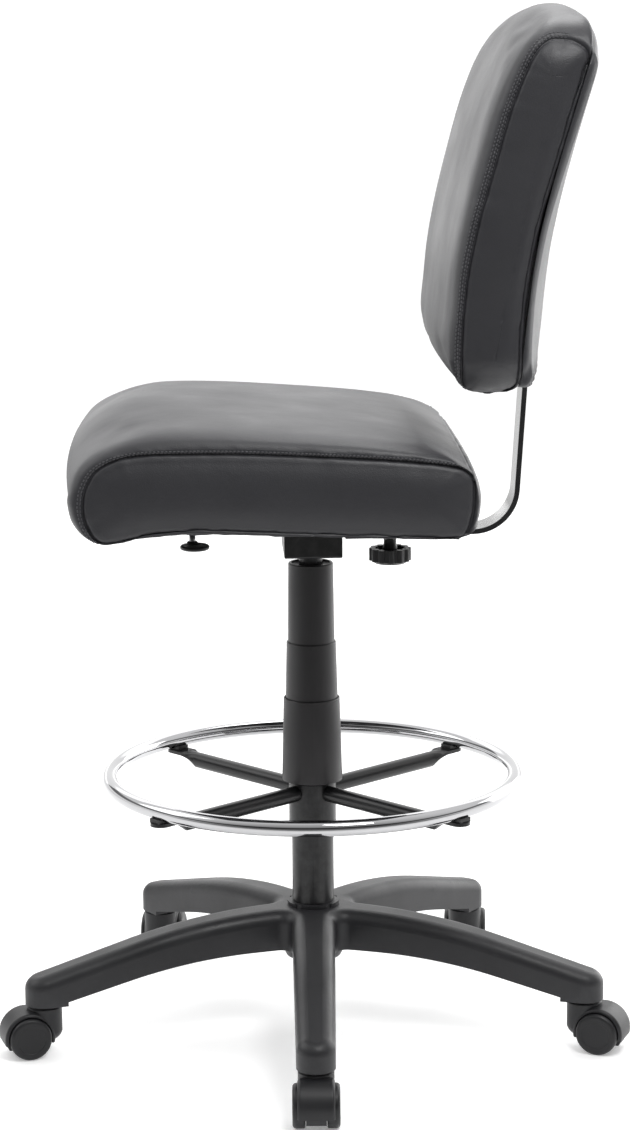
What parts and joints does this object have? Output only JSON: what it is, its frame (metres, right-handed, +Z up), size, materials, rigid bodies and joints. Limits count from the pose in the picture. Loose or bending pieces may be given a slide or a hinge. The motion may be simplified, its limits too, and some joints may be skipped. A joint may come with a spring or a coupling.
{
  "type": "drafting chair",
  "caption": "Armless drafting chair with a thick upholstered seat and back, gas-lift column, chromed foot ring and wheeled star base.",
  "frame": {"origin": "on the floor, under the axis of the column", "axes": "+Z up; the sitter faces -Y, and +X is the sitter's left"},
  "size_m": [0.7182, 0.7448, 1.216],
  "materials": {
    "black_nylon": "fine matte moulded texture",
    "bare_steel": "zinc-plated",
    "black_steel": "satin black powder coat",
    "chrome": "polished chrome plate",
    "grey_rod": "dull grey steel",
    "cover_plastic": "satin moulded plastic",
    "black_trim": "moulded plastic",
    "plywood": "moulded plywood",
    "black_vinyl": "soft grained black vinyl",
    "dust_cloth": "non-woven dust cloth",
    "castor_plastic": "moulded nylon",
    "wheel_nylon": "smooth nylon"
  },
  "bodies": {
    "base": {"star_base": "black_nylon", "caster_sockets": "bare_steel", "column_tube": "black_steel", "column_bushing": "cover_plastic", "thrust_bearing": "bare_steel", "cover_lower": "cover_plastic"},
    "middle_cover": {"cover_middle": "cover_plastic"},
    "foot_ring_carrier": {"foot_ring": "chrome", "foot_ring_hub": "black_steel", "foot_ring_spokes": "black_steel", "foot_ring_saddles": "black_trim", "foot_ring_screws": "black_trim"},
    "ring_knob": {"foot_ring_knob": "black_trim", "foot_ring_stud": "bare_steel"},
    "piston": {"piston_rod": "bare_steel", "rod_clip": "bare_steel"},
    "seat": {"gas_cylinder": "chrome", "cover_top": "cover_plastic", "mechanism_housing": "black_steel", "taper_socket": "bare_steel", "seat_plate": "black_steel", "seat_bolts": "bare_steel", "seat_tee_nuts": "bare_steel", "seat_pan": "plywood", "seat_cushion": "black_vinyl", "seat_dust_cover": "dust_cloth", "back_guide": "black_steel", "clamp_nut": "bare_steel", "lever_pivot": "bare_steel"},
    "valve": {"release_button": "bare_steel"},
    "lever": {"lever_rod": "grey_rod", "lever_paddle": "black_trim"},
    "depth_knob": {"depth_knob": "black_trim", "depth_stud": "bare_steel"},
    "bar": {"j_bar": "black_steel"},
    "back": {"back_board": "plywood", "back_cushion": "black_vinyl", "back_rear_pad": "black_vinyl", "back_sleeve": "black_trim", "back_bolts": "bare_steel"},
    "castor_front": {"caster_hood_front": "castor_plastic", "caster_pins_front": "bare_steel"},
    "wheel_front_a": {"caster_wheel_front_a": "wheel_nylon"},
    "wheel_front_b": {"caster_wheel_front_b": "wheel_nylon"},
    "castor_right": {"caster_hood_right": "castor_plastic", "caster_pins_right": "bare_steel"},
    "wheel_right_a": {"caster_wheel_right_a": "wheel_nylon"},
    "wheel_right_b": {"caster_wheel_right_b": "wheel_nylon"},
    "castor_rear_right": {"caster_hood_rear_right": "castor_plastic", "caster_pins_rear_right": "bare_steel"},
    "wheel_rear_right_a": {"caster_wheel_rear_right_a": "wheel_nylon"},
    "wheel_rear_right_b": {"caster_wheel_rear_right_b": "wheel_nylon"},
    "castor_rear_left": {"caster_hood_rear_left": "castor_plastic", "caster_pins_rear_left": "bare_steel"},
    "wheel_rear_left_a": {"caster_wheel_rear_left_a": "wheel_nylon"},
    "wheel_rear_left_b": {"caster_wheel_rear_left_b": "wheel_nylon"},
    "castor_left": {"caster_hood_left": "castor_plastic", "caster_pins_left": "bare_steel"},
    "wheel_left_a": {"caster_wheel_left_a": "wheel_nylon"},
    "wheel_left_b": {"caster_wheel_left_b": "wheel_nylon"}
  },
  "joints": [
    {"name": "seat_swivel", "type": "hinge", "parent": "base", "child": "piston", "pos_m": [0, 0, 0.096], "axis": [0, 0, 1], "continuous": true},
    {"name": "seat_height", "type": "slide", "parent": "piston", "child": "seat", "axis": [0, 0, 1], "range_m": [-0.127, 0]},
    {"name": "middle_cover_slide", "type": "slide", "parent": "base", "child": "middle_cover", "axis": [0, 0, 1], "range_m": [-0.0636, 0]},
    {"name": "foot_ring_height", "type": "slide", "parent": "base", "child": "foot_ring_carrier", "axis": [0, 0, 1], "range_m": [-0.08, 0]},
    {"name": "foot_ring_knob_turn", "type": "hinge", "parent": "foot_ring_carrier", "child": "ring_knob", "pos_m": [-0.04, 0, 0.262], "axis": [1, 0, 0], "range_deg": [0, 360]},
    {"name": "release_press", "type": "slide", "parent": "seat", "child": "valve", "axis": [0, 0, 1], "range_m": [-0.0018, 0]},
    {"name": "lever_lift", "type": "hinge", "parent": "seat", "child": "lever", "pos_m": [0.038, 0, 0.6245], "axis": [0, -1, 0], "range_deg": [0, 2.6], "stiffness_Nm_per_rad": 2},
    {"name": "depth_knob_turn", "type": "hinge", "parent": "seat", "child": "depth_knob", "pos_m": [0, 0.094, 0.58], "axis": [0, 0, 1], "range_deg": [0, 360]},
    {"name": "back_depth", "type": "slide", "parent": "seat", "child": "bar", "axis": [0, 1, 0], "range_m": [-0.02, 0.02]},
    {"name": "back_height", "type": "slide", "parent": "bar", "child": "back", "axis": [0, 0.068, 0.9977], "range_m": [0, 0.06]},
    {"name": "castor_swivel_front", "type": "hinge", "parent": "base", "child": "castor_front", "pos_m": [0.33439, -0.01197, 0.06], "axis": [0, 0, 1], "continuous": true},
    {"name": "wheel_roll_front_a", "type": "hinge", "parent": "castor_front", "child": "wheel_front_a", "pos_m": [0.35597, -0.01284, 0.025], "axis": [0.0401, 0.9992, 0], "continuous": true},
    {"name": "wheel_roll_front_b", "type": "hinge", "parent": "castor_front", "child": "wheel_front_b", "pos_m": [0.35597, -0.01284, 0.025], "axis": [0.0401, 0.9992, 0], "continuous": true},
    {"name": "castor_swivel_right", "type": "hinge", "parent": "base", "child": "castor_right", "pos_m": [0.11471, 0.31432, 0.06], "axis": [0, 0, 1], "continuous": true},
    {"name": "wheel_roll_right_a", "type": "hinge", "parent": "castor_right", "child": "wheel_right_a", "pos_m": [0.12347, 0.33407, 0.025], "axis": [-0.9143, 0.4051, 0], "continuous": true},
    {"name": "wheel_roll_right_b", "type": "hinge", "parent": "castor_right", "child": "wheel_right_b", "pos_m": [0.12347, 0.33407, 0.025], "axis": [-0.9143, 0.4051, 0], "continuous": true},
    {"name": "castor_swivel_rear_right", "type": "hinge", "parent": "base", "child": "castor_rear_right", "pos_m": [-0.26349, 0.20623, 0.06], "axis": [0, 0, 1], "continuous": true},
    {"name": "wheel_roll_rear_right_a", "type": "hinge", "parent": "castor_rear_right", "child": "wheel_rear_right_a", "pos_m": [-0.28496, 0.2086, 0.025], "axis": [-0.1097, -0.994, 0], "continuous": true},
    {"name": "wheel_roll_rear_right_b", "type": "hinge", "parent": "castor_rear_right", "child": "wheel_rear_right_b", "pos_m": [-0.28496, 0.2086, 0.025], "axis": [-0.1097, -0.994, 0], "continuous": true},
    {"name": "castor_swivel_rear_left", "type": "hinge", "parent": "base", "child": "castor_rear_left", "pos_m": [-0.27756, -0.18686, 0.06], "axis": [0, 0, 1], "continuous": true},
    {"name": "wheel_roll_rear_left_a", "type": "hinge", "parent": "castor_rear_left", "child": "wheel_rear_left_a", "pos_m": [-0.29874, -0.18263, 0.025], "axis": [-0.1959, -0.9806, 0], "continuous": true},
    {"name": "wheel_roll_rear_left_b", "type": "hinge", "parent": "castor_rear_left", "child": "wheel_rear_left_b", "pos_m": [-0.29874, -0.18263, 0.025], "axis": [-0.1959, -0.9806, 0], "continuous": true},
    {"name": "castor_swivel_left", "type": "hinge", "parent": "base", "child": "castor_left", "pos_m": [0.09195, -0.32172, 0.06], "axis": [0, 0, 1], "continuous": true},
    {"name": "wheel_roll_left_a", "type": "hinge", "parent": "castor_left", "child": "wheel_left_a", "pos_m": [0.09743, -0.34261, 0.025], "axis": [0.9673, 0.2538, 0], "continuous": true},
    {"name": "wheel_roll_left_b", "type": "hinge", "parent": "castor_left", "child": "wheel_left_b", "pos_m": [0.09743, -0.34261, 0.025], "axis": [0.9673, 0.2538, 0], "continuous": true}
  ],
  "couplings": [
    {"joint": "middle_cover_slide", "follows": "seat_height", "ratio": 0.5},
    {"joint": "release_press", "follows": "lever_lift", "m_per_rad": -0.038}
  ]
}
